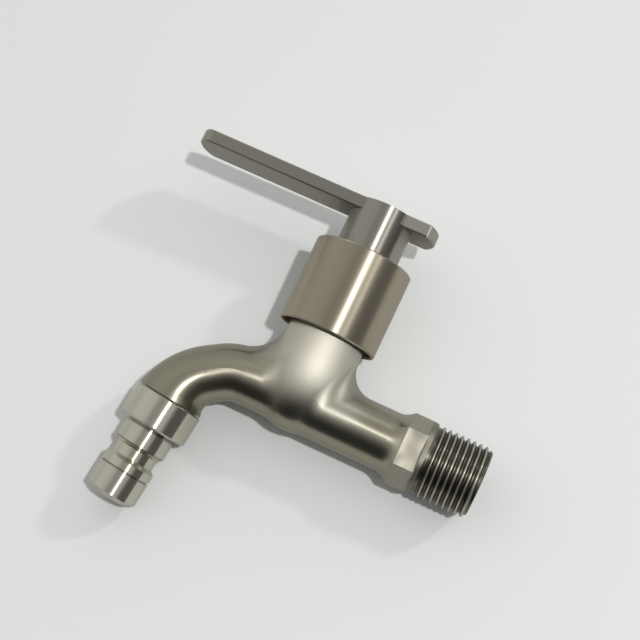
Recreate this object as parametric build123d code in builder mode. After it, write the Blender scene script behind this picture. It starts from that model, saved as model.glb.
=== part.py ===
"""Wall tap for a washing machine, with a quarter-turn lever and a stepped hose nipple.

Lengths are millimetres. +Z is up along the stem, +Y points into the wall along the inlet,
and the spout reaches out along -Y. The origin is on the inlet axis, where its thread starts.
"""
import os
from math import cos, radians, sin, sqrt, tan

from build123d import *

os.makedirs("parts", exist_ok=True)

# Inlet thread and wrench flats
thread_diameter = 20.8
thread_length = 15.7
thread_lead = 0.9
relief_length = 0.7
relief_depth = 0.7
shoulder_length = 1.3
shoulder_taper = 0.4
hex_across_flats = 18.5
hex_length = 6.0
flare_length = 4.2
flare_sections = 4

# Cast body
stem_distance = 39.9
tube_diameter = 17.4
neck_diameter = 22.6
neck_height = 24.0
bulb_swell = 0.7
bulb_fullness = 2.7
bulb_shoulder = 8.0
inlet_blend = 7.5
spout_blend = 11.0
inlet_bore = 12.0
seat_height = 1.5
seat_bore = 9.2
throat_bore = 6.4
throat_floor = 1.8
chamber_diameter = 18.4
chamber_height = 13.0
partition_wall = 2.8

# Spout
spout_reach = 32.6
spout_drop = 15.2
spout_slope = 32.0
nozzle_lean = 6.3
first_bend = 14.0
second_bend = 14.8
spout_diameter = 16.4
mouth_diameter = 19.9
spout_wall = 2.4
mouth_sections = 6
bend_lead = 0.3
spigot_diameter = 16.2
spigot_length = 5.6

# Hose nipple
collar_diameter = 20.3
collar_length = 9.2
collar_edge = 0.45
collar_gap = 0.25
nipple_diameter = 15.1
nipple_bore = 9.0
under_collar_groove = 1.2
upper_band = 5.0
waist_length = 5.2
waist_depth = 1.2
waist_slope = 1.1
middle_band = 2.3
band_groove = 0.6
groove_depth = 0.6
lower_band = 6.8
tip_chamfer = 1.2
tip_taper = 2.2
gasket_thickness = 1.5
strainer_thickness = 0.5
strainer_hole = 1.1
strainer_pitch = 1.7
strainer_rings = 2

# Cartridge
housing_thread = 17.3
barrel_diameter = 15.8
cavity_diameter = 13.2
flange_across_flats = 21.0
flange_height = 4.2
housing_gasket_thickness = 0.8
upper_barrel_diameter = 14.0
upper_barrel_length = 8.4
stem_diameter = 9.0
disc_thickness = 3.0
seat_seal_height = 2.5
seal_width = 1.2
support_ring_width = 0.65
window_inner_radius = 1.8
window_outer_radius = 4.4
window_angle = 76.0
disc_lug_width = 2.4
disc_clearance = 0.2
port_height = 3.8
port_width = 8.0
drive_tang = 2.8
drive_tang_height = 1.3
spindle_core_diameter = 6.4
thrust_washer_thickness = 0.5
spindle_flange_height = 1.2
ring_section = 1.7
lower_ring_height = 18.0
ring_spacing = 6.0
circlip_thickness = 0.8
circlip_width = 2.2
square_drive = 6.3
square_drive_top = 53.0
square_chamfer = 0.6
circlip_groove_depth = 0.8
circlip_opening = 70.0
circlip_land = 0.3
barrel_lift = 0.7
housing_chamfer = 0.6
stop_ring_height = 1.3
stop_lug_direction = 90.0
stop_lug_angle = 24.0
stop_slack_angle = 3.0
lever_travel = 90.0

# Sleeve
sleeve_diameter = 29.2
sleeve_bottom = 19.3
sleeve_length = 25.5
sleeve_wall = 1.2
sleeve_top_thickness = 2.2
sleeve_web_thickness = 2.0
sleeve_edge = 0.35
locknut_across_flats = 17.0
locknut_height = 3.2

# Lever
lever_top = 59.8
hub_diameter = 18.8
blade_width = 14.8
blade_thickness = 3.8
blade_reach = 58.2
blade_tail = 16.7
blade_end_radius = 12.0
blade_corner = 2.5
blade_edge = 0.4
grub_screw_diameter = 4.0
grub_screw_length = 5.0
grub_screw_drop = 3.5
grub_screw_socket = 2.0
grub_screw_socket_depth = 2.5

# Fits
running_fit = 0.05
thread_fit = 0.05
loose_fit = 0.1
stop_clearance = 0.2
hub_clearance = 0.7

# Places worked out from the sizes above
thread_radius = thread_diameter / 2
tube_radius = tube_diameter / 2
neck_radius = neck_diameter / 2
bulb_bottom = -tube_radius - bulb_swell
hex_corner_radius = hex_across_flats / 2 / cos(radians(30))
relief_radius = thread_radius - relief_depth
hex_end = -relief_length - shoulder_length
hex_start = hex_end - hex_length
flare_start = hex_start - flare_length
chamber_radius = chamber_diameter / 2
partition_face = chamber_radius + partition_wall
throat_height = seat_height - throat_floor - throat_bore / 2
spout_bore_radius = spout_diameter / 2 - spout_wall
spigot_radius = spigot_diameter / 2
collar_bottom = collar_gap + collar_length
cavity_floor = spigot_length + strainer_thickness + gasket_thickness
seal_top = seat_height + seat_seal_height
fixed_disc_top = seal_top + disc_thickness
moving_disc_top = fixed_disc_top + disc_thickness
barrel_bottom = seat_height + barrel_lift
port_top = moving_disc_top + port_height
washer_bottom = port_top + spindle_flange_height
cavity_top = washer_bottom + thrust_washer_thickness
cavity_radius = cavity_diameter / 2
moving_disc_radius = cavity_radius - disc_clearance
across_barrel = 2 * barrel_diameter
housing_thread_radius = housing_thread / 2
flange_bottom = neck_height + housing_gasket_thickness
web_bottom = flange_bottom + flange_height
locknut_bottom = web_bottom + sleeve_web_thickness
upper_barrel_radius = upper_barrel_diameter / 2
upper_barrel_top = web_bottom + upper_barrel_length
stem_radius = stem_diameter / 2
stem_bore_radius = stem_radius + running_fit
ring_centre_radius = stem_radius - ring_section / 2
circlip_bottom = upper_barrel_top + loose_fit
circlip_groove_radius = stem_radius - circlip_groove_depth
circlip_radius = circlip_groove_radius + circlip_width
stem_shoulder = circlip_bottom + circlip_thickness + circlip_land
stop_ring_top = stem_shoulder + stop_ring_height
hub_bottom = stop_ring_top + loose_fit
stop_ring_radius = circlip_radius
sleeve_radius = sleeve_diameter / 2
sleeve_top = sleeve_bottom + sleeve_length
hub_radius = hub_diameter / 2
grub_screw_height = square_drive_top - grub_screw_drop
nipple_radius = nipple_diameter / 2
groove_radius = nipple_radius - groove_depth
band_start = collar_bottom + under_collar_groove
waist_start = band_start + upper_band
waist_end = waist_start + waist_length
groove_start = waist_end + middle_band
tip_start = groove_start + band_groove + lower_band


def level(height):
    """Horizontal plane at this height, centred on the stem axis."""
    return Plane(origin=(0, -stem_distance, height), z_dir=(0, 0, 1))


def around_inlet(angle):
    """Plane through the inlet axis: x runs along +Y, y points outward at this angle from +Z."""
    turn = radians(angle)
    return Plane(origin=(0, 0, 0), x_dir=(0, 1, 0), z_dir=(cos(turn), 0, -sin(turn)))


def across_inlet(distance, height=0.0):
    """Plane square to the inlet at this distance from the stem axis, facing the wall."""
    return Plane(origin=(0, distance - stem_distance, height), x_dir=(1, 0, 0), z_dir=(0, 1, 0))


def nozzle_level(distance):
    """Plane square to the nozzle at this distance below the spout's mouth."""
    return Plane(origin=mouth + down_nozzle * distance, x_dir=(1, 0, 0), z_dir=down_nozzle)


stem_axis = Axis((0, -stem_distance, 0), (0, 0, 1))
stem_side = Plane(origin=(0, -stem_distance, 0), x_dir=(0, 1, 0), z_dir=(1, 0, 0))
lean = radians(nozzle_lean)
down_nozzle = Vector(0, -sin(lean), -cos(lean))
mouth = Vector(0, -stem_distance - spout_reach, -spout_drop)
nozzle_axis = Axis(mouth, down_nozzle)
nozzle_side = Plane(origin=mouth, x_dir=(1, 0, 0), z_dir=(0, cos(lean), -sin(lean)))

# Centreline of the spout: straight out, down a slope, then into the lean of the nozzle
slope = radians(spout_slope)
second_tangent = second_bend * tan((radians(90) - lean - slope) / 2)
second_corner = mouth - down_nozzle * (second_tangent + bend_lead)
first_corner = Vector(0, second_corner.Y - second_corner.Z / tan(slope), 0)
first_tangent = first_bend * tan(slope / 2)
first_bend_start = first_corner + Vector(0, first_tangent + bend_lead, 0)
slope_run = (second_corner - first_corner).length - first_tangent - second_tangent
slope_middle = first_corner + (second_corner - first_corner).normalized() * (first_tangent + slope_run / 2)
straight_run = -stem_distance - first_bend_start.Y
with BuildLine() as first_bend_line:
    FilletPolyline(first_bend_start, first_corner, slope_middle, radius=first_bend)
with BuildLine() as second_bend_line:
    FilletPolyline(slope_middle, second_corner, mouth, radius=second_bend)
with BuildLine() as waterway_line:
    FilletPolyline(
        (0, -stem_distance - chamber_radius + bend_lead, 0),
        first_corner,
        second_corner,
        mouth + down_nozzle * spigot_length,
        radius=[first_bend, second_bend],
    )


def square_to(line, share):
    """Plane square to a line at this share of its length."""
    return Plane(origin=line.wire() @ share, x_dir=(1, 0, 0), z_dir=line.wire() % share)


def sector(inner_radius, outer_radius, middle_angle, width_angle):
    """Flat face between two radii, spread evenly about its middle angle."""
    start = middle_angle - width_angle / 2
    end = middle_angle + width_angle / 2
    with BuildSketch() as face:
        with BuildLine():
            outer = CenterArc((0, 0), outer_radius, start, end - start)
            inner = CenterArc((0, 0), inner_radius, start, end - start)
            Line(outer @ 0, inner @ 0)
            Line(outer @ 1, inner @ 1)
        make_face()
    return face.sketch


def polar(radius, angle):
    """Point in a sketch at this radius and angle."""
    return Vector(radius, 0).rotate(Axis.Z, angle)


# Cast body: neck and bulb
with BuildPart() as tap_body:
    with BuildSketch(stem_side):
        with BuildLine():
            Bezier(
                (0, bulb_bottom),
                (neck_radius + bulb_fullness, bulb_bottom),
                (neck_radius, bulb_shoulder),
                (neck_radius, neck_height),
            )
            Polyline((neck_radius, neck_height), (0, neck_height), (0, bulb_bottom))
        make_face()
    revolve(axis=stem_axis)

    # Inlet tube
    with BuildSketch(across_inlet(0)):
        Circle(tube_radius)
    extrude(amount=stem_distance + flare_start)

    # Flare where the round tube grows six corners, and the wrench flats
    for section in range(flare_sections):
        share = section / flare_sections
        corner = tube_radius + (hex_corner_radius - tube_radius) * share**2
        middle = tube_radius + (hex_across_flats / 2 - tube_radius) * share**2
        with BuildSketch(across_inlet(stem_distance + flare_start + flare_length * share)):
            with BuildLine():
                for side in range(6):
                    low, mid, high = (60 * side + turn for turn in (-30, 0, 30))
                    ThreePointArc(polar(corner, low), polar(middle, mid), polar(corner, high))
            make_face()
    with BuildSketch(across_inlet(stem_distance + hex_start)) as wrench_flats:
        RegularPolygon(hex_corner_radius, 6, rotation=30)
    loft()
    extrude(wrench_flats.sketch, amount=hex_length)

    # Turned ring beside the flats, and the thread's outside
    with BuildSketch(around_inlet(180)):
        with BuildLine():
            Polyline(
                (hex_end, 0),
                (hex_end, hex_corner_radius),
                (-relief_length, hex_corner_radius - shoulder_taper),
                (-relief_length, relief_radius),
                (0, relief_radius),
                (0, thread_radius),
                (thread_length - thread_lead, thread_radius),
                (thread_length, thread_radius - thread_lead),
                (thread_length, 0),
                close=True,
            )
        make_face()
    revolve(axis=Axis.Y)

    # Spout: straight out, a steady bend, then one that widens to the mouth
    with BuildSketch(-across_inlet(0)):
        Circle(spout_diameter / 2)
    extrude(amount=straight_run)
    with BuildSketch(square_to(first_bend_line, 0)):
        Circle(spout_diameter / 2)
    sweep(path=first_bend_line.wire())
    for section in range(mouth_sections):
        share = section / (mouth_sections - 1)
        with BuildSketch(square_to(second_bend_line, share)):
            Circle((spout_diameter + (mouth_diameter - spout_diameter) * share**2) / 2)
    loft()

    # Cast blends where the inlet tube and the spout leave the neck
    inlet_joins = tap_body.edges().filter_by(GeomType.BSPLINE).filter_by_position(
        Axis.Y, -stem_distance, -stem_distance + neck_diameter
    )
    fillet(inlet_joins, inlet_blend)
    spout_joins = tap_body.edges().filter_by(GeomType.BSPLINE).filter_by_position(
        Axis.Y, first_bend_start.Y, -stem_distance - spout_diameter / 4
    )
    fillet(spout_joins, spout_blend)

    # Spigot inside the collar
    with BuildSketch(nozzle_level(0)):
        Circle(spigot_radius)
    extrude(amount=spigot_length)

    # Chamber, seat and socket for the cartridge
    with BuildSketch(stem_side):
        with BuildLine():
            Polyline(
                (0, throat_height - throat_bore / 2),
                (seat_bore / 2, throat_height - throat_bore / 2),
                (seat_bore / 2, seat_height),
                (chamber_radius, seat_height),
                (chamber_radius, seat_height + chamber_height),
                (housing_thread_radius + thread_fit, seat_height + chamber_height),
                (housing_thread_radius + thread_fit, neck_height),
                (0, neck_height),
                close=True,
            )
        make_face()
    revolve(axis=stem_axis, mode=Mode.SUBTRACT)

    # Waterways: in under the seat, out along the spout
    with BuildSketch(across_inlet(partition_face)):
        Circle(inlet_bore / 2)
    extrude(amount=stem_distance + thread_length - partition_face, mode=Mode.SUBTRACT)
    with BuildSketch(across_inlet(0, throat_height)):
        Circle(throat_bore / 2)
    extrude(amount=partition_face + throat_bore / 2, mode=Mode.SUBTRACT)
    with BuildSketch(square_to(waterway_line, 0)):
        Circle(spout_bore_radius)
    sweep(path=waterway_line.wire(), mode=Mode.SUBTRACT)
tap_body.part.label = "tap_body"
export_step(tap_body.part, "parts/tap_body.step")

# Hose nipple: a collar that screws over the spigot, then a nipple with a waist and a groove
with BuildPart() as hose_nipple:
    with BuildSketch(nozzle_side):
        with BuildLine():
            Polyline(
                (spigot_radius + thread_fit, collar_gap),
                (collar_diameter / 2 - collar_edge, collar_gap),
                (collar_diameter / 2, collar_gap + collar_edge),
                (collar_diameter / 2, collar_bottom - collar_edge),
                (collar_diameter / 2 - collar_edge, collar_bottom),
                (groove_radius, collar_bottom),
                (groove_radius, band_start),
                (nipple_radius, band_start),
                (nipple_radius, waist_start),
                (nipple_radius - waist_depth, waist_start + waist_slope),
                (nipple_radius - waist_depth, waist_end - waist_slope),
                (nipple_radius, waist_end),
                (nipple_radius, groove_start),
                (groove_radius, groove_start),
                (groove_radius, groove_start + band_groove),
                (nipple_radius, groove_start + band_groove),
                (nipple_radius, tip_start),
                (nipple_radius - tip_taper, tip_start + tip_chamfer),
                (nipple_bore / 2, tip_start + tip_chamfer),
                (nipple_bore / 2, cavity_floor),
                (spigot_radius + thread_fit, cavity_floor),
                (spigot_radius + thread_fit, collar_gap),
            )
        make_face()
    revolve(axis=nozzle_axis)
hose_nipple.part.label = "hose_nipple"
export_step(hose_nipple.part, "parts/hose_nipple.step")

# Rubber washer on the floor of the collar
with BuildPart() as nipple_gasket:
    with BuildSketch(nozzle_level(cavity_floor - gasket_thickness)):
        Circle(spigot_radius)
        Circle(nipple_bore / 2 + loose_fit, mode=Mode.SUBTRACT)
    extrude(amount=gasket_thickness)
nipple_gasket.part.label = "nipple_gasket"
export_step(nipple_gasket.part, "parts/nipple_gasket.step")

# Pierced steel disc held between the washer and the spigot
with BuildPart() as strainer_screen:
    with BuildSketch(nozzle_level(spigot_length)):
        Circle(spigot_radius)
        Circle(strainer_hole / 2, mode=Mode.SUBTRACT)
        for ring in range(1, strainer_rings + 1):
            with PolarLocations(strainer_pitch * ring, 6 * ring):
                Circle(strainer_hole / 2, mode=Mode.SUBTRACT)
    extrude(amount=strainer_thickness)
strainer_screen.part.label = "strainer_screen"
export_step(strainer_screen.part, "parts/strainer_screen.step")

# Cartridge housing: barrel with side ports, thread, spanner flange, upper barrel with its stop
with BuildPart() as cartridge_housing:
    with BuildSketch(stem_side):
        with BuildLine():
            Polyline(
                (cavity_radius, barrel_bottom),
                (barrel_diameter / 2, barrel_bottom),
                (barrel_diameter / 2, seat_height + chamber_height),
                (housing_thread_radius, seat_height + chamber_height + housing_chamfer),
                (housing_thread_radius, flange_bottom),
                (upper_barrel_radius, flange_bottom),
                (upper_barrel_radius, upper_barrel_top),
                (stem_bore_radius, upper_barrel_top),
                (stem_bore_radius, cavity_top),
                (cavity_radius, cavity_top),
                close=True,
            )
        make_face()
    revolve(axis=stem_axis)
    with BuildSketch(level(flange_bottom)):
        RegularPolygon(flange_across_flats / 2, 6, major_radius=False)
        Circle(stem_bore_radius, mode=Mode.SUBTRACT)
    extrude(amount=flange_height)
    with BuildSketch(level(upper_barrel_top)):
        add(
            sector(
                stop_ring_radius + stop_clearance,
                upper_barrel_radius,
                stop_lug_direction + lever_travel / 2 + 180,
                360 - lever_travel - stop_lug_angle - 2 * stop_slack_angle,
            )
        )
    extrude(amount=stop_ring_top - upper_barrel_top - running_fit)
    with BuildSketch(level(moving_disc_top)):
        Rectangle(port_width, across_barrel)
    extrude(amount=port_height, mode=Mode.SUBTRACT)
    with BuildSketch(level(barrel_bottom)):
        Rectangle(across_barrel, disc_lug_width + 2 * loose_fit)
    extrude(amount=fixed_disc_top - barrel_bottom, mode=Mode.SUBTRACT)
cartridge_housing.part.label = "cartridge_housing"
export_step(cartridge_housing.part, "parts/cartridge_housing.step")

# Flat washer that seals the housing on the neck
with BuildPart() as housing_gasket:
    with BuildSketch(level(neck_height)):
        Circle(flange_across_flats / 2)
        Circle(housing_thread_radius + thread_fit, mode=Mode.SUBTRACT)
    extrude(amount=housing_gasket_thickness)
housing_gasket.part.label = "housing_gasket"
export_step(housing_gasket.part, "parts/housing_gasket.step")

# Rubber seal between the seat and the fixed disc, with the ring that keeps it round
support_ring_radius = cavity_radius - loose_fit - seal_width
with BuildPart() as seat_seal:
    with BuildSketch(level(seat_height)):
        Circle(cavity_radius - loose_fit)
        Circle(support_ring_radius, mode=Mode.SUBTRACT)
    extrude(amount=seat_seal_height)
seat_seal.part.label = "seat_seal"
export_step(seat_seal.part, "parts/seat_seal.step")

with BuildPart() as seal_support_ring:
    with BuildSketch(level(seat_height + loose_fit)):
        Circle(support_ring_radius)
        Circle(support_ring_radius - support_ring_width, mode=Mode.SUBTRACT)
    extrude(amount=seat_seal_height - loose_fit)
seal_support_ring.part.label = "seal_support_ring"
export_step(seal_support_ring.part, "parts/seal_support_ring.step")

# Ceramic discs: the fixed one is keyed by two lugs, the moving one has a slot for the spindle
with BuildPart() as fixed_disc:
    with BuildSketch(level(seal_top)):
        Circle(cavity_radius - loose_fit)
        Rectangle(barrel_diameter - 2 * loose_fit, disc_lug_width)
        for middle in (90, 270):
            add(
                sector(window_inner_radius, window_outer_radius, middle, window_angle),
                mode=Mode.SUBTRACT,
            )
    extrude(amount=disc_thickness)
fixed_disc.part.label = "fixed_disc"
export_step(fixed_disc.part, "parts/fixed_disc.step")

with BuildPart() as moving_disc:
    with BuildSketch(level(fixed_disc_top)):
        Circle(moving_disc_radius)
        for middle in (0, 180):
            add(
                sector(window_inner_radius, window_outer_radius, middle, window_angle),
                mode=Mode.SUBTRACT,
            )
    extrude(amount=disc_thickness)
    with BuildSketch(level(moving_disc_top - drive_tang_height - running_fit)):
        Rectangle(drive_tang + 2 * running_fit, cavity_diameter)
    extrude(amount=drive_tang_height + running_fit, mode=Mode.SUBTRACT)
moving_disc.part.label = "moving_disc"
export_step(moving_disc.part, "parts/moving_disc.step")

# Spindle: tang and open foot below, flange, stem with its grooves, square drive on top
ring_heights = [lower_ring_height + ring_spacing * number for number in range(2)]
with BuildPart() as spindle:
    with BuildSketch(level(port_top)):
        Circle(moving_disc_radius)
    extrude(amount=spindle_flange_height)
    with BuildSketch(level(port_top)):
        Circle(stem_radius)
    extrude(amount=stem_shoulder - port_top)
    with BuildSketch(level(moving_disc_top)):
        Circle(spindle_core_diameter / 2)
        for middle in (90, 270):
            add(sector(drive_tang / 2, moving_disc_radius, middle, 180 - window_angle))
    extrude(amount=port_height)
    with BuildSketch(level(moving_disc_top - drive_tang_height)):
        Rectangle(drive_tang, 2 * (moving_disc_radius - disc_clearance))
    extrude(amount=drive_tang_height)
    for height in ring_heights:
        with BuildSketch(level(height - ring_section / 2 - loose_fit)):
            Circle(stem_radius)
            Circle(stem_radius - ring_section, mode=Mode.SUBTRACT)
        extrude(amount=ring_section + 2 * loose_fit, mode=Mode.SUBTRACT)
    with BuildSketch(level(circlip_bottom)):
        Circle(stem_radius)
        Circle(circlip_groove_radius, mode=Mode.SUBTRACT)
    extrude(amount=circlip_thickness, mode=Mode.SUBTRACT)
    with BuildSketch(level(stem_shoulder)):
        Rectangle(square_drive, square_drive)
    extrude(amount=square_drive_top - stem_shoulder)
    chamfer(spindle.faces().sort_by(Axis.Z)[-1].edges(), square_chamfer)
spindle.part.label = "spindle"
export_step(spindle.part, "parts/spindle.step")

# Two rubber rings in the stem's grooves
for name, height in zip(("lower", "upper"), ring_heights):
    with BuildPart() as stem_ring:
        with BuildSketch(stem_side):
            with Locations((ring_centre_radius, height)):
                Circle(ring_section / 2)
        revolve(axis=stem_axis)
    stem_ring.part.label = f"spindle_o_ring_{name}"
    export_step(stem_ring.part, f"parts/spindle_o_ring_{name}.step")

# Slippery washer that takes the spindle's upward push
with BuildPart() as thrust_washer:
    with BuildSketch(level(washer_bottom)):
        Circle(cavity_radius - loose_fit)
        Circle(stem_radius + loose_fit, mode=Mode.SUBTRACT)
    extrude(amount=thrust_washer_thickness)
thrust_washer.part.label = "thrust_washer"
export_step(thrust_washer.part, "parts/thrust_washer.step")

# Open clip that keeps the spindle from dropping into the housing
with BuildPart() as spindle_circlip:
    with BuildSketch(level(circlip_bottom)):
        add(sector(circlip_groove_radius, circlip_radius, 0, 360 - circlip_opening))
    extrude(amount=circlip_thickness)
spindle_circlip.part.label = "spindle_circlip"
export_step(spindle_circlip.part, "parts/spindle_circlip.step")

# Stop ring on the square drive: its lug meets the housing's stop at each end of the travel
with BuildPart() as stop_ring:
    with BuildSketch(level(stem_shoulder)):
        Circle(stop_ring_radius)
        add(sector(square_drive / 2, upper_barrel_radius, stop_lug_direction, stop_lug_angle))
        Rectangle(square_drive + running_fit, square_drive + running_fit, mode=Mode.SUBTRACT)
    extrude(amount=stop_ring_height)
stop_ring.part.label = "stop_ring"
export_step(stop_ring.part, "parts/stop_ring.step")

# Plain sleeve that hides the cartridge, clamped by its inner web
with BuildPart() as bonnet_sleeve:
    inside = sleeve_radius - sleeve_wall
    with BuildSketch(stem_side):
        with BuildLine():
            Polyline(
                (inside + sleeve_edge, sleeve_bottom),
                (sleeve_radius - sleeve_edge, sleeve_bottom),
                (sleeve_radius, sleeve_bottom + sleeve_edge),
                (sleeve_radius, sleeve_top - sleeve_edge),
                (sleeve_radius - sleeve_edge, sleeve_top),
                (hub_radius + hub_clearance, sleeve_top),
                (hub_radius + hub_clearance, sleeve_top - sleeve_top_thickness),
                (inside, sleeve_top - sleeve_top_thickness),
                (inside, locknut_bottom),
                (upper_barrel_radius + loose_fit, locknut_bottom),
                (upper_barrel_radius + loose_fit, web_bottom),
                (inside, web_bottom),
                (inside, sleeve_bottom + sleeve_edge),
                close=True,
            )
        make_face()
    revolve(axis=stem_axis)
bonnet_sleeve.part.label = "bonnet_sleeve"
export_step(bonnet_sleeve.part, "parts/bonnet_sleeve.step")

# Thin nut on the upper barrel that holds the sleeve
with BuildPart() as sleeve_locknut:
    with BuildSketch(level(locknut_bottom)):
        RegularPolygon(locknut_across_flats / 2, 6, major_radius=False)
        Circle(upper_barrel_radius + thread_fit, mode=Mode.SUBTRACT)
    extrude(amount=locknut_height)
sleeve_locknut.part.label = "sleeve_locknut"
export_step(sleeve_locknut.part, "parts/sleeve_locknut.step")

# Lever: a flat blade with shallow curved ends, and the hub that passes up through it
end_rise = blade_end_radius - sqrt(blade_end_radius**2 - (blade_width / 2) ** 2)
with BuildPart() as lever_handle:
    with BuildSketch(level(lever_top - blade_thickness)):
        with BuildLine():
            half = blade_width / 2
            front = -blade_reach + end_rise
            back = blade_tail - end_rise
            Line((half, back), (half, front))
            ThreePointArc((half, front), (0, -blade_reach), (-half, front))
            Line((-half, front), (-half, back))
            ThreePointArc((-half, back), (0, blade_tail), (half, back))
        make_face()
    extrude(amount=blade_thickness)
    tip_corners = lever_handle.edges().filter_by(Axis.Z).group_by(Axis.Y)[0]
    fillet(tip_corners, blade_corner)
    chamfer(lever_handle.faces().filter_by(Axis.Z).edges(), blade_edge)
    with BuildSketch(level(hub_bottom)):
        Circle(hub_radius)
    extrude(amount=lever_top - hub_bottom)
    chamfer(lever_handle.faces().sort_by(Axis.Z)[0].edges(), blade_edge)
    with BuildSketch(level(hub_bottom)):
        Rectangle(square_drive + 2 * running_fit, square_drive + 2 * running_fit)
    extrude(amount=square_drive_top + loose_fit - hub_bottom, mode=Mode.SUBTRACT)
    with BuildSketch(Plane(origin=(0, -stem_distance, grub_screw_height), z_dir=(-1, 0, 0))):
        Circle(grub_screw_diameter / 2 + thread_fit)
    extrude(amount=hub_diameter, mode=Mode.SUBTRACT)
lever_handle.part.label = "lever_handle"
export_step(lever_handle.part, "parts/lever_handle.step")

# Grub screw through the back of the hub onto the square drive
grub_start = square_drive / 2
with BuildPart() as handle_grub_screw:
    with BuildSketch(
        Plane(origin=(-grub_start, -stem_distance, grub_screw_height), z_dir=(-1, 0, 0))
    ):
        Circle(grub_screw_diameter / 2)
    extrude(amount=grub_screw_length)
    with BuildSketch(
        Plane(
            origin=(-grub_start - grub_screw_length, -stem_distance, grub_screw_height),
            z_dir=(1, 0, 0),
        )
    ):
        RegularPolygon(grub_screw_socket / 2, 6, major_radius=False)
    extrude(amount=grub_screw_socket_depth, mode=Mode.SUBTRACT)
handle_grub_screw.part.label = "handle_grub_screw"
export_step(handle_grub_screw.part, "parts/handle_grub_screw.step")
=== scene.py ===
"""Looks of the tap: satin stainless steel, lying on its side on a pale table."""

from math import atan2, cos, floor, pi, radians, sin

import bmesh
import bpy
from mathutils import Matrix, Vector


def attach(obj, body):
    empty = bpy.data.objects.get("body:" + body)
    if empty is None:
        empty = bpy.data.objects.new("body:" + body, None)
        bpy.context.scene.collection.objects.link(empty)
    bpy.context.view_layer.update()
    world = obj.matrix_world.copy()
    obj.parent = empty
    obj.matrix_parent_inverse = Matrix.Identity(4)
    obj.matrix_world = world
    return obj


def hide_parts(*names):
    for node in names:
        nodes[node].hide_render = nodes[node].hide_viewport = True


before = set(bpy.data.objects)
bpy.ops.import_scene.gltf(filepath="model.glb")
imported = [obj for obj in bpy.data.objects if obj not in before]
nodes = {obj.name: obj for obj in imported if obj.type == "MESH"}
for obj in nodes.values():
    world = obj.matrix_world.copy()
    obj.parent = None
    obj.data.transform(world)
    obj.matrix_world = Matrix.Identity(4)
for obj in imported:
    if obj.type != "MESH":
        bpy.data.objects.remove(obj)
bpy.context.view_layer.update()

# Lengths are in metres and places in the part's frame, unless a comment says otherwise.

# Camera: its place, the directions of the picture's right and up, and its optics in millimetres
camera_place = Vector((0.3338, -0.0007, -0.0264))
picture_right = Vector((-0.0529, 0.9025, 0.4274)).normalized()
picture_up = Vector((0.1858, -0.4116, 0.8922)).normalized()
picture_out = picture_right.cross(picture_up)
sensor_width = 36.0
lens_length = 67.34
view_start = 0.01
view_end = 20.0

# Directions that brush lines circle or follow
stem_line = Vector((0.0, 0.0, 1.0))
inlet_line = Vector((0.0, 1.0, 0.0))
side_line = Vector((1.0, 0.0, 0.0))
nozzle_tilt = radians(6.3)
nozzle_line = Vector((0.0, -sin(nozzle_tilt), -cos(nozzle_tilt)))

# Inlet thread: a right-hand pipe thread between its relief and its chamfered end
thread_pitch = 0.001814
thread_crest = 0.0104
thread_root = 0.00924
thread_start = 0.00004
thread_length = 0.0157
thread_run_in = 0.0005
flank_slope = 1.35
relief_radius = 0.0097
end_radius = 0.0092
bore_radius = 0.006
skin_radius = bore_radius + 0.0001
profile_steps = 12
turn_steps = 120
spare_turns = 1.0

# How near points have to be to be merged, or to count as a part of a rim
thread_merge = 0.000002
rim_merge = 0.0000001
start_slack = 0.00002
run_in_slack = 0.00001
rim_slack = 0.00003

# Places along the inlet where the cast body's finish changes
thread_side = -0.000001
relief_end = -0.0007
relief_slack = 0.00001
flats_end = -0.0020
flats_blend = 0.0001
flats_start = -0.0080

# Cast body: the point (y, z) that its spout bends about, the heights between which its neck
# softens and takes a painted highlight of paler steel, and its soft bulb with the same painted
# highlight: the middle, the distances from it where it ends and where it is full, and the heights
# between which it rises
bend_middle = (-0.0500, -0.0220)
neck_rise = (0.0030, 0.0110)
bulb_middle = Vector((0.0110, -0.0360, 0.0040))
bulb_reach = (0.0190, 0.0080)
bulb_foot = (-0.0045, 0.0025)

# Thread: radii between which its roots get painted shade, and between which the bore's mouth is
# kept free of it
root_fade = (0.01035, 0.00970)
end_fade = (skin_radius, 0.0088)

# Lever's tail: where its paler sides of painted sheen start, along the blade and across it, and its
# upright edges with painted glints
tail_start = (-0.0335, -0.0330)
tail_side = (0.0069, 0.0073)
tail_corner = (0.0074, -0.02575)
tail_line = (0.0004, 0.0002)

# Nipple's dark lines of painted shade in its grooves: distance below the spout's mouth and half
# width, the share of the width that is fully dark, and how dark
mouth = Vector((0.0, -0.0725, -0.0152))
groove_lines = ((0.01005, 0.0006), (0.01565, 0.00025), (0.02345, 0.0003))
groove_core = 0.4
groove_darkness = 0.8

# Base colours of the pieces
satin_steel = (0.40, 0.357, 0.276)
turned_steel = (0.52, 0.50, 0.417)
lever_steel = (0.345, 0.328, 0.282)
cast_steel = (0.29, 0.273, 0.212)
milled_steel = (0.36, 0.34, 0.28)
thread_steel = (0.42, 0.40, 0.34)
brass_metal = (0.76, 0.60, 0.32)
black = (0.03, 0.03, 0.03)
off_white = (0.80, 0.80, 0.78)
ceramic_white = (0.86, 0.85, 0.82)

# Colours mixed in where a piece is paler or darker (painted highlight on the neck and bulb, a
# darker ring beside the flats, painted sheen on the lever tail's sides, painted glints on its
# upright edges, painted shade in the thread's roots and the nipple's grooves), and the steel's tint
# at grazing angles
neck_glow_paint = (0.425, 0.405, 0.345, 1.0)
shoulder_steel = (0.22, 0.207, 0.17, 1.0)
tail_sheen_paint = (0.50, 0.468, 0.40, 1.0)
edge_glint_paint = (0.85, 0.83, 0.77, 1.0)
recess_shade_paint = (0.145, 0.136, 0.110, 1.0)
edge_tint = (0.75, 0.75, 0.75, 1.0)

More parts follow.
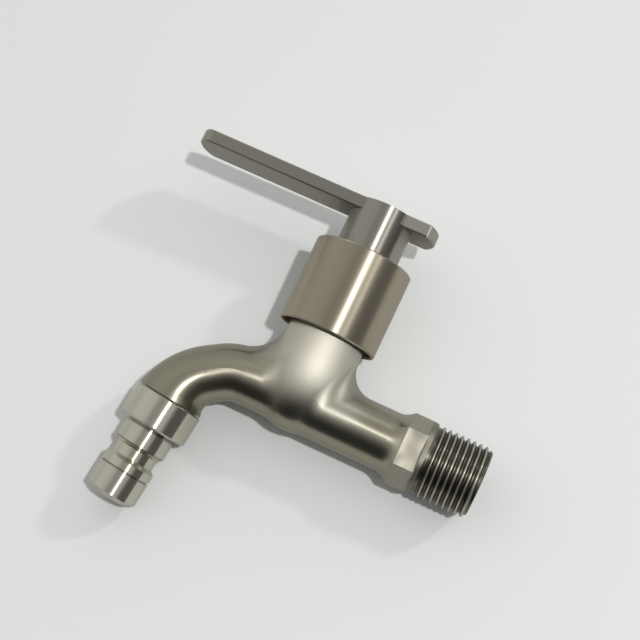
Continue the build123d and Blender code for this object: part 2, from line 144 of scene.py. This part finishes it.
# Brushed steel: noise scales along its lines, across them and of its smudges, the noise's own
# roughness and used range, how far colour and roughness vary, and the lines' depth
slow_scale = 60.0
fine_scale = 9000.0
smudge_scale = 90.0
noise_roughness = 0.6
noise_range = (0.3, 0.7)
steel_tints = (0.93, 1.06)
steel_gloss = (0.92, 1.08)
line_depth = 0.00002

# Flats: scale and depth of their polished waves
wave_scale = 110.0
wave_depth = 0.0012

# Plain stuff: the noise's scale, and how far colour and roughness vary
grain_scale = 900.0
plain_tints = (0.9, 1.08)
plain_gloss = (0.8, 1.2)

# Table: the plane that the tap rests on when it lies on its side
table_normal = Vector((0.992, -0.03, 0.124)).normalized()
table_gap = 0.00005
table_half = 1.5
table_colour = (0.735, 0.747, 0.735, 1.0)
table_roughness = 0.6
table_shine = 0.2

# Lamps: direction from the tap, the disc's size and its brightness at the tap
tap_middle = Vector((0.0, -0.04, 0.0))
lamp_distance = 1.6
lamps = {
    "ceiling_lamp": (Vector((1.0, 0.32, 0.12)).normalized(), 0.07, 1.44),
    "window_lamp": (Vector((1.0, 0.95, 1.40)).normalized(), 0.12, 0.52),
}

# The room that the steel mirrors: its level, and patches, each with its angle from the direction
# to the photographer, its turn from the picture's right, its outer and inner reach, all in
# degrees, and its level; then the patch on the table's side, and what the camera sees as backdrop
room_level = 0.68
room_patches = (
    (50, 140, 42.0, 15.0, 0.80),
    (18, 112, 20.0, 8.0, 0.46),
    (60, 290, 50.0, 20.0, 0.17),
    (60, 237, 70.0, 22.0, 0.04),
    (71, 338, 41.0, 24.0, 0.13),
)
table_patch = (-side_line, 90.0, 80.0, 0.68)
backdrop_level = 0.78
room_colour = (1.0, 1.0, 0.99, 1.0)

# A Mix node's two inputs and its output for each kind of value
mix_sockets = {"FLOAT": (2, 3, 0), "VECTOR": (4, 5, 1), "RGBA": (6, 7, 2)}


def feed(tree, node, inputs):
    """Sets a node's inputs, or links them where the value is another node's socket."""
    for name, value in dict(inputs).items():
        if isinstance(value, bpy.types.NodeSocket):
            tree.links.new(value, node.inputs[name])
        else:
            node.inputs[name].default_value = value


def add_node(tree, kind, inputs=(), **settings):
    """A new node with its settings and inputs."""
    node = tree.nodes.new(kind)
    for key, value in settings.items():
        setattr(node, key, value)
    feed(tree, node, inputs)
    return node


def calc(tree, operation, *values):
    """Result of a Math node on sockets or numbers."""
    return add_node(tree, "ShaderNodeMath", enumerate(values), operation=operation).outputs["Value"]


def vector_calc(tree, operation, vector, fixed):
    """Single value that a Vector Math node makes of a socket and a fixed vector."""
    inputs = {0: vector, 1: fixed}
    node = add_node(tree, "ShaderNodeVectorMath", inputs, operation=operation)
    return node.outputs["Value"]


def length(tree, first, second):
    """Length of a vector with two square components."""
    squares = [calc(tree, "MULTIPLY", side, side) for side in (first, second)]
    return calc(tree, "SQRT", calc(tree, "ADD", *squares))


def mixed(tree, kind, factor, first, second):
    """Mix of two values or sockets of one kind."""
    low, high, result = mix_sockets[kind]
    inputs = {"Factor": factor, low: first, high: second}
    return add_node(tree, "ShaderNodeMix", inputs, data_type=kind).outputs[result]


def step(tree, value, start, end):
    """Smooth step of a socket's value from 0 at the start to 1 at the end."""
    inputs = {"Value": value, "From Min": start, "From Max": end}
    node = add_node(tree, "ShaderNodeMapRange", inputs, interpolation_type="SMOOTHSTEP")
    return node.outputs["Result"]


def object_place(tree):
    """The shaded point in the part's frame, with the piece where it lies at rest."""
    return add_node(tree, "ShaderNodeTexCoord").outputs["Object"]


def place_parts(tree):
    """The three coordinates of that point."""
    parts = add_node(tree, "ShaderNodeSeparateXYZ", {"Vector": object_place(tree)})
    return [parts.outputs[axis] for axis in "XYZ"]


def stretched_noise(tree, along, across_scale, along_scale, detail=3.0):
    """Noise with one scale along a line and another square to it."""
    turn = along.rotation_difference(side_line).to_euler()
    place = add_node(tree, "ShaderNodeMapping", {"Vector": object_place(tree), "Rotation": turn})
    scale = (along_scale, across_scale, across_scale)
    place = add_node(tree, "ShaderNodeMapping", {"Vector": place.outputs["Vector"], "Scale": scale})
    inputs = {"Scale": 1.0, "Detail": detail, "Roughness": noise_roughness}
    inputs["Vector"] = place.outputs["Vector"]
    return add_node(tree, "ShaderNodeTexNoise", inputs).outputs["Fac"]


def spread_vector(tree, along, flat_side=None):
    """Direction that brush lines scatter light in; on faces square to it flat_side takes over."""
    if flat_side is None:
        return add_node(tree, "ShaderNodeCombineXYZ", zip("XYZ", along)).outputs["Vector"]
    normal = add_node(tree, "ShaderNodeNewGeometry").outputs["True Normal"]
    square = calc(tree, "ABSOLUTE", vector_calc(tree, "DOT_PRODUCT", normal, along))
    return mixed(tree, "VECTOR", square, along, flat_side)


def varied(colour, shares):
    """A darker and a lighter version of a colour."""
    return [(*[min(1.0, c * share) for c in colour], 1.0) for share in shares]


def shader_of(material):
    """A material's node tree and its Principled shader."""
    tree = material.node_tree
    return tree, next(n for n in tree.nodes if n.type == "BSDF_PRINCIPLED")


def linked_to(shader, name):
    """The socket that feeds an input of the shader."""
    return shader.inputs[name].links[0].from_socket


def new_material(name):
    """An empty node material with its tree and shader."""
    material = bpy.data.materials.new(name)
    material.use_nodes = True
    return material, *shader_of(material)


def brushed_steel(
    name, lines_round, spread, colour=satin_steel, roughness=0.35, anisotropy=0.95, relief=0.02
):
    """Satin steel: lines_round gives an axis and whether the brush lines circle it or follow it,
    and spread says where they scatter light."""
    material, tree, shader = new_material(name)
    line, circled = lines_round
    scales = (slow_scale, fine_scale) if circled else (fine_scale, slow_scale)
    lines = stretched_noise(tree, line, *scales)
    smudge = stretched_noise(tree, line, smudge_scale, smudge_scale)
    blend = calc(tree, "MULTIPLY_ADD", lines, 0.5, calc(tree, "MULTIPLY", smudge, 0.5))
    gloss = {
        "Value": blend,
        "From Min": noise_range[0],
        "From Max": noise_range[1],
        "To Min": roughness * steel_gloss[0],
        "To Max": roughness * steel_gloss[1],
    }
    bump = {"Height": lines, "Strength": relief, "Distance": line_depth}
    feed(tree, shader, {
        "Metallic": 1.0,
        "Specular Tint": edge_tint,
        "Anisotropic": anisotropy,
        "Base Color": mixed(tree, "RGBA", blend, *varied(colour, steel_tints)),
        "Roughness": add_node(tree, "ShaderNodeMapRange", gloss).outputs["Result"],
        "Normal": add_node(tree, "ShaderNodeBump", bump).outputs["Normal"],
        "Tangent": spread_vector(tree, *spread),
    })
    return material


def plain(name, colour, roughness, metallic=0.0):
    """Moulded or machined stuff inside the tap, with a little variation in its gloss."""
    material, tree, shader = new_material(name)
    grain = stretched_noise(tree, stem_line, grain_scale, grain_scale)
    gloss = {
        "Value": grain,
        "To Min": roughness * plain_gloss[0],
        "To Max": min(1.0, roughness * plain_gloss[1]),
    }
    feed(tree, shader, {
        "Metallic": metallic,
        "Base Color": mixed(tree, "RGBA", grain, *varied(colour, plain_tints)),
        "Roughness": add_node(tree, "ShaderNodeMapRange", gloss).outputs["Result"],
    })
    return material


def shade(material, share, colour):
    """Mixes another colour in where share is 1."""
    tree, shader = shader_of(material)
    base = linked_to(shader, "Base Color")
    feed(tree, shader, {"Base Color": mixed(tree, "RGBA", share, base, colour)})


def shape_body(material, neck_roughness):
    """Lets the body's lines follow the inlet and the bent spout, softens the neck and bulb, and
    paints a highlight on them with paler steel.
    """
    tree, shader = shader_of(material)
    x, y, z = place_parts(tree)
    bend_y, bend_z = bend_middle
    along = {
        "Y": calc(tree, "SUBTRACT", bend_z, z),
        "Z": calc(tree, "MINIMUM", calc(tree, "SUBTRACT", y, bend_y), 0.0),
    }
    away = vector_calc(tree, "DISTANCE", object_place(tree), bulb_middle)
    bulb = calc(tree, "MULTIPLY", step(tree, away, *bulb_reach), step(tree, z, *bulb_foot))
    share = calc(tree, "MAXIMUM", step(tree, z, *neck_rise), bulb)
    rough = linked_to(shader, "Roughness")
    feed(tree, shader, {
        "Tangent": add_node(tree, "ShaderNodeCombineXYZ", along).outputs["Vector"],
        "Roughness": mixed(tree, "FLOAT", share, rough, neck_roughness),
    })
    # Painted highlight: paler steel where the neck and bulb glow
    shade(material, share, neck_glow_paint)


def wave_flats(material):
    """Slow waves that hand polishing leaves on a flat face."""
    tree, shader = shader_of(material)
    bump = {
        "Height": stretched_noise(tree, stem_line, wave_scale, wave_scale, detail=1.0),
        "Strength": 1.0,
        "Distance": wave_depth,
        "Normal": linked_to(shader, "Normal"),
    }
    feed(tree, shader, {"Normal": add_node(tree, "ShaderNodeBump", bump).outputs["Normal"]})


def darken_shoulder(material):
    """The turned ring beside the flats is given a darker colour than they have."""
    tree = material.node_tree
    x, y, z = place_parts(tree)
    shade(material, step(tree, y, flats_end - flats_blend, flats_end + flats_blend), shoulder_steel)


def darken_roots(material):
    """Painted shade in the thread's roots leaves it dark there and bright along its crests."""
    tree = material.node_tree
    x, y, z = place_parts(tree)
    radius = length(tree, x, z)
    share = calc(tree, "MULTIPLY", step(tree, radius, *root_fade), step(tree, radius, *end_fade))
    # Painted shade in the thread's roots
    shade(material, share, recess_shade_paint)


def darken_grooves(material):
    """Painted shade in the nipple's turned grooves."""
    tree = material.node_tree
    below = vector_calc(tree, "DOT_PRODUCT", object_place(tree), nozzle_line)
    depth = calc(tree, "SUBTRACT", below, mouth.dot(nozzle_line))
    total = 0.0
    for middle, width in groove_lines:
        off = calc(tree, "ABSOLUTE", calc(tree, "SUBTRACT", depth, middle))
        line = calc(tree, "MULTIPLY", step(tree, off, width, width * groove_core), groove_darkness)
        total = calc(tree, "MAXIMUM", total, line)
    # Painted shade along the nipple's grooves
    shade(material, total, recess_shade_paint)


def brighten_tail(material):
    """The lever's tail has painted light: paler sides than the blade, a painted sheen, and painted
    glints along its upright edges.
    """
    tree = material.node_tree
    x, y, z = place_parts(tree)
    across = calc(tree, "ABSOLUTE", x)
    sides = calc(tree, "MULTIPLY", step(tree, y, *tail_start), step(tree, across, *tail_side))
    # Painted sheen: paler sides on the tail
    shade(material, sides, tail_sheen_paint)
    corner_x, corner_y = tail_corner
    side = calc(tree, "SUBTRACT", across, corner_x)
    end = calc(tree, "SUBTRACT", y, corner_y)
    # Painted glints along the tail's upright edges
    shade(material, step(tree, length(tree, side, end), *tail_line), edge_glint_paint)


def paint(node, material):
    """The material goes into every slot of a CAD node."""
    if not node.material_slots:
        node.data.materials.append(material)
    for place in node.material_slots:
        place.material = material


def from_inlet(point):
    """Distance of a point from the inlet's axis."""
    return (point.x**2 + point.z**2) ** 0.5


def thread_radius(turns, y):
    """The thread's radius: flat crests and roots, run in from the relief, chamfered at the end."""
    phase = turns - floor(turns)
    swing = max(-1.0, min(1.0, flank_slope * (1.0 - 4.0 * abs(phase - 0.5))))
    radius = thread_root + (thread_crest - thread_root) * (0.5 + 0.5 * swing)
    share = max(0.0, min(1.0, (y - thread_start) / thread_run_in))
    radius = relief_radius + (radius - relief_radius) * share
    return min(radius, end_radius + thread_length - y)


def add_thread(mesh):
    """Helical surface from the relief to the end face; gives its faces."""
    rows = int((thread_length / thread_pitch + 2.0 * spare_turns) * profile_steps)
    columns = []
    for i in range(turn_steps):
        turn = i / turn_steps
        angle = 2.0 * pi * turn
        column = []
        for m in range(rows):
            turns = m / profile_steps - spare_turns
            y = max(thread_start, min(thread_length, (turns + turn) * thread_pitch))
            radius = thread_radius(turns, y)
            column.append(mesh.verts.new((radius * sin(angle), y, radius * cos(angle))))
        columns.append(column)
    faces = []
    for i in range(turn_steps):
        wraps = i == turn_steps - 1
        here, there = columns[i], columns[0] if wraps else columns[i + 1]
        shift = profile_steps if wraps else 0
        for m in range(rows - 1 - shift):
            corners = (here[m], there[m + shift], there[m + 1 + shift], here[m + 1])
            faces.append(mesh.faces.new(corners))
    return faces


def rim_edges(mesh, y, radius, slack=rim_slack):
    """Open edges that lie on one circle about the inlet's axis."""

    def near(vertex):
        return abs(vertex.co.y - y) < slack and abs(from_inlet(vertex.co) - radius) < slack

    return [e for e in mesh.edges if e.is_boundary and all(near(v) for v in e.verts)]


def stitch(mesh, near, far, facing):
    """Triangles between two rims about the inlet's axis; facing gives the direction they face."""
    loops = []
    for edges in (near, far):
        corners = {v for e in edges for v in e.verts}
        around = sorted(((atan2(v.co.x, v.co.z), v) for v in corners), key=lambda pair: pair[0])
        first_angle, first_corner = around[0]
        loops.append(around + [(first_angle + 2.0 * pi, first_corner)])
    first, second = loops
    i = j = 0
    while i < len(first) - 1 or j < len(second) - 1:
        first_left = i < len(first) - 1
        if j == len(second) - 1 or (first_left and first[i + 1][0] < second[j + 1][0]):
            corners = (first[i][1], second[j][1], first[i + 1][1])
            i += 1
        else:
            corners = (first[i][1], second[j][1], second[j + 1][1])
            j += 1
        face = mesh.faces.new(corners)
        face.normal_update()
        if face.normal.dot(facing(face.calc_center_median())) < 0.0:
            face.normal_flip()


def swap_thread(mesh):
    """Takes the plain thread cylinder out of the body's mesh and sews the helix in."""
    plain_faces = [
        face for face in mesh.faces
        if from_inlet(face.calc_center_median()) > skin_radius
        and all(v.co.y > thread_side for v in face.verts)
    ]
    bmesh.ops.delete(mesh, geom=plain_faces, context="FACES")
    corners = list({v for f in add_thread(mesh) for v in f.verts})
    bmesh.ops.remove_doubles(mesh, verts=corners, dist=thread_merge)
    rims = rim_edges(mesh, 0.0, relief_radius, start_slack)
    rims += rim_edges(mesh, thread_length, bore_radius)
    corners = list({v for e in rims for v in e.verts})
    bmesh.ops.remove_doubles(mesh, verts=corners, dist=rim_merge)
    start_rim = rim_edges(mesh, 0.0, relief_radius, start_slack)
    run_in_rim = rim_edges(mesh, thread_start, relief_radius, run_in_slack)
    stitch(mesh, start_rim, run_in_rim, lambda middle: middle)
    bore_rim = rim_edges(mesh, thread_length, bore_radius)
    end_rim = rim_edges(mesh, thread_length, end_radius)
    stitch(mesh, bore_rim, end_rim, lambda middle: inlet_line)
    for edge in bore_rim + end_rim:
        edge.smooth = False


def threaded_body(*materials):
    """A copy of the cast body with a real helix; its materials are cast, flats and thread."""
    cast, flats, thread = range(3)
    source = nodes["tap_body"].data
    copy = source.copy()
    copy.name = "tap_body_threaded"
    copy.materials.clear()
    for material in materials:
        copy.materials.append(material)
    kept = copy.attributes.new("kept_normal", "FLOAT_VECTOR", "CORNER")
    kept.data.foreach_set("vector", [c for n in source.corner_normals for c in n.vector])
    mesh = bmesh.new()
    mesh.from_mesh(copy)
    swap_thread(mesh)
    for face in mesh.faces:
        middle = face.calc_center_median()
        outside = from_inlet(middle) > skin_radius
        if outside and middle.y > relief_end - relief_slack:
            face.material_index = thread
        elif outside and middle.y > flats_start:
            face.material_index = flats
        else:
            face.material_index = cast
        face.smooth = True
    mesh.to_mesh(copy)
    mesh.free()
    normals = [tuple(c.vector) for c in copy.attributes["kept_normal"].data]
    copy.normals_split_custom_set(normals)
    copy.attributes.remove(copy.attributes["kept_normal"])
    body = bpy.data.objects.new("tap_body_threaded", copy)
    bpy.context.scene.collection.objects.link(body)
    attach(body, "valve_body")
    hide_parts("tap_body")


round_the_stem = brushed_steel(
    "steel_brushed_round_stem", (stem_line, True), (stem_line, side_line), roughness=0.40
)
round_the_nozzle = brushed_steel(
    "steel_turned_round_nozzle", (nozzle_line, True), (nozzle_line, side_line),
    turned_steel, roughness=0.22,
)
darken_grooves(round_the_nozzle)
lengthwise = brushed_steel(
    "steel_brushed_lengthwise", (inlet_line, False), (stem_line, side_line), lever_steel
)
brighten_tail(lengthwise)
cast_body = brushed_steel(
    "steel_cast_satin", (inlet_line, True), (inlet_line,),
    cast_steel, roughness=0.335, anisotropy=0.8, relief=0.01,
)
shape_body(cast_body, neck_roughness=0.51)
milled_flats = brushed_steel(
    "steel_milled_flats", (inlet_line, True), (inlet_line,),
    milled_steel, roughness=0.52, anisotropy=0.0, relief=0.01,
)
wave_flats(milled_flats)
darken_shoulder(milled_flats)
cut_thread = brushed_steel(
    "steel_cut_thread", (inlet_line, True), (inlet_line,),
    thread_steel, roughness=0.36, anisotropy=0.5,
)
darken_roots(cut_thread)
brass = plain("brass", brass_metal, roughness=0.35, metallic=1.0)
rubber = plain("black_rubber", black, roughness=0.7)
white_plastic = plain("white_plastic", off_white, roughness=0.45)
white_ceramic = plain("white_ceramic", ceramic_white, roughness=0.2)

finishes = {
    "tap_body": cast_body,
    "bonnet_sleeve": round_the_stem,
    "hose_nipple": round_the_nozzle,
    "lever_handle": lengthwise,
    "handle_grub_screw": round_the_stem,
    "spindle_circlip": round_the_stem,
    "strainer_screen": round_the_nozzle,
    "cartridge_housing": brass,
    "spindle": brass,
    "stop_ring": brass,
    "sleeve_locknut": brass,
    "housing_gasket": rubber,
    "seat_seal": rubber,
    "nipple_gasket": rubber,
    "spindle_o_ring_lower": rubber,
    "spindle_o_ring_upper": rubber,
    "seal_support_ring": white_plastic,
    "thrust_washer": white_plastic,
    "fixed_disc": white_ceramic,
    "moving_disc": white_ceramic,
}
for name, finish in finishes.items():
    paint(nodes[name], finish)
threaded_body(cast_body, milled_flats, cut_thread)


def make_camera():
    """The camera at the photograph's place."""
    data = bpy.data.cameras.new("camera")
    data.sensor_width = sensor_width
    data.lens = lens_length
    data.clip_start = view_start
    data.clip_end = view_end
    camera = bpy.data.objects.new("camera", data)
    turn = Matrix((picture_right, picture_up, picture_out)).transposed()
    camera.matrix_world = Matrix.Translation(camera_place) @ turn.to_4x4()
    bpy.context.scene.collection.objects.link(camera)
    bpy.context.scene.camera = camera


def seen(angle, turn):
    """Direction at an angle from the photographer's, turned from the picture's right."""
    across = picture_right * cos(radians(turn)) + picture_up * sin(radians(turn))
    return picture_out * cos(radians(angle)) + across * sin(radians(angle))


def make_table():
    """A pale table that the tap's far side rests on; from behind it lets the view through."""
    level = min(v.co.dot(table_normal) for node in nodes.values() for v in node.data.vertices)
    foot = table_normal * (level - table_gap)
    first = table_normal.cross(stem_line).normalized() * table_half
    second = table_normal.cross(first)
    corners = [foot + first * a + second * b for a, b in ((-1, -1), (1, -1), (1, 1), (-1, 1))]
    mesh = bpy.data.meshes.new("table")
    mesh.from_pydata(corners, [], [(0, 1, 2, 3)])
    table = bpy.data.objects.new("table", mesh)
    bpy.context.scene.collection.objects.link(table)
    material, tree, shader = new_material("table_top")
    feed(tree, shader, {
        "Base Color": table_colour,
        "Roughness": table_roughness,
        "Specular IOR Level": table_shine,
    })
    top = add_node(tree, "ShaderNodeMixShader", {
        0: add_node(tree, "ShaderNodeNewGeometry").outputs["Backfacing"],
        1: shader.outputs["BSDF"],
        2: add_node(tree, "ShaderNodeBsdfTransparent").outputs["BSDF"],
    })
    output = next(n for n in tree.nodes if n.type == "OUTPUT_MATERIAL")
    feed(tree, output, {"Surface": top.outputs["Shader"]})
    table.data.materials.append(material)


def make_lamps():
    """Round lamps in their directions from the tap's middle."""
    for name, (direction, size, brightness) in lamps.items():
        data = bpy.data.lights.new(name, "AREA")
        data.shape = "DISK"
        data.size = size
        data.energy = brightness * pi * lamp_distance**2
        light = bpy.data.objects.new(name, data)
        light.location = tap_middle + direction * lamp_distance
        light.rotation_mode = "QUATERNION"
        light.rotation_quaternion = (-direction).to_track_quat("-Z", "Y")
        bpy.context.scene.collection.objects.link(light)


def make_world():
    """A pale room with darker and lighter patches, plain where the camera sees it."""
    world = bpy.data.worlds.new("room")
    bpy.context.scene.world = world
    world.use_nodes = True
    tree = world.node_tree
    toward = add_node(tree, "ShaderNodeTexCoord").outputs["Generated"]
    patches = [(seen(angle, turn), *rest) for angle, turn, *rest in room_patches]
    level = room_level
    for direction, outer, inner, value in patches + [table_patch]:
        near = vector_calc(tree, "DOT_PRODUCT", toward, direction)
        share = step(tree, near, cos(radians(outer)), cos(radians(inner)))
        level = mixed(tree, "FLOAT", share, level, value)
    camera_ray = add_node(tree, "ShaderNodeLightPath").outputs["Is Camera Ray"]
    background = next(n for n in tree.nodes if n.type == "BACKGROUND")
    strength = mixed(tree, "FLOAT", camera_ray, level, backdrop_level)
    feed(tree, background, {"Color": room_colour, "Strength": strength})


make_camera()
make_table()
make_lamps()
make_world()
bpy.context.scene.view_settings.view_transform = "Standard"
